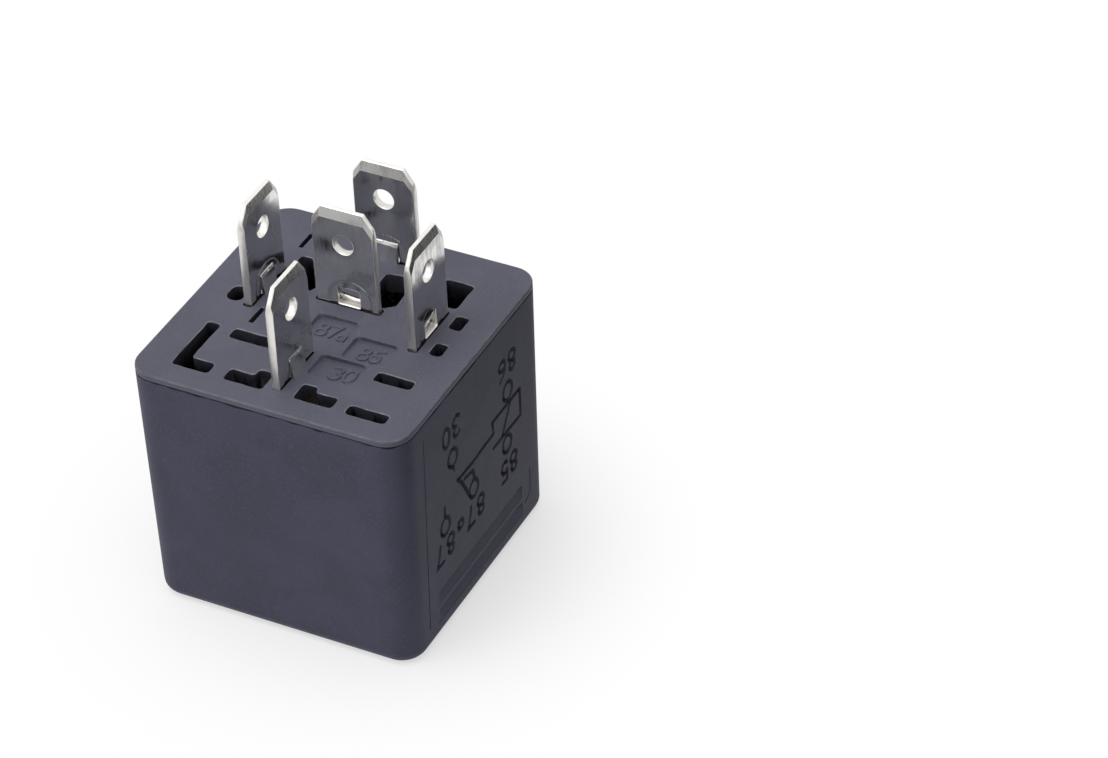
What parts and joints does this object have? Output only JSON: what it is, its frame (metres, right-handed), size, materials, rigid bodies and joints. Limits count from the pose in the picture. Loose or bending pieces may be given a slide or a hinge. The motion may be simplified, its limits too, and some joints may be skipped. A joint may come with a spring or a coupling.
{
  "type": "automotive relay",
  "caption": "Cube-shaped automotive change-over relay with a moulded cover, a slotted base, push-on blades and a pivoting armature inside.",
  "frame": {"origin": "centre of the cover's closed end, which the relay stands on", "axes": "+Z along the blades, away from the closed end; +X towards the side with the engraved circuit; -Y towards the plain side nearest the common blade"},
  "size_m": [0.028, 0.028, 0.0371],
  "materials": {
    "housing_plastic": "fine moulded texture, charcoal",
    "base_plastic": "satin moulded, grey charcoal",
    "tinned_brass": "tin plated, satin bright",
    "rivet_brass": "plain",
    "plated_steel": "zinc plated",
    "soft_iron": "plain turned",
    "bobbin_nylon": "natural nylon",
    "enamelled_copper": "enamelled wire",
    "bare_copper": "fine braid",
    "solder": "bright",
    "contact_silver": "silver alloy",
    "spring_steel": "bright wire",
    "spring_bronze": "rolled strip"
  },
  "bodies": {
    "housing": {"cover": "housing_plastic", "base": "base_plastic", "terminal_30": "tinned_brass", "terminal_85": "tinned_brass", "terminal_86": "tinned_brass", "terminal_87": "tinned_brass", "terminal_87a": "tinned_brass", "common_rivets": "rivet_brass", "yoke": "plated_steel", "core": "soft_iron", "bobbin": "bobbin_nylon", "coil_winding": "enamelled_copper", "coil_lead_85": "enamelled_copper", "coil_lead_86": "enamelled_copper", "solder_joints": "solder", "work_contact": "contact_silver", "rest_contact": "contact_silver", "return_spring": "spring_steel", "flex_braid": "bare_copper"},
    "armature": {"armature": "plated_steel", "contact_arm": "spring_bronze", "arm_rivets": "rivet_brass", "moving_contact": "contact_silver"}
  },
  "joints": [
    {"name": "armature_tilt", "type": "hinge", "parent": "housing", "child": "armature", "pos_m": [0, -0.0105, 0.0073], "axis": [1, 0, 0], "range_deg": [0, 4], "stiffness_Nm_per_rad": 0.01, "springref_deg": -11.46, "deforming": ["return_spring", "flex_braid"]}
  ]
}
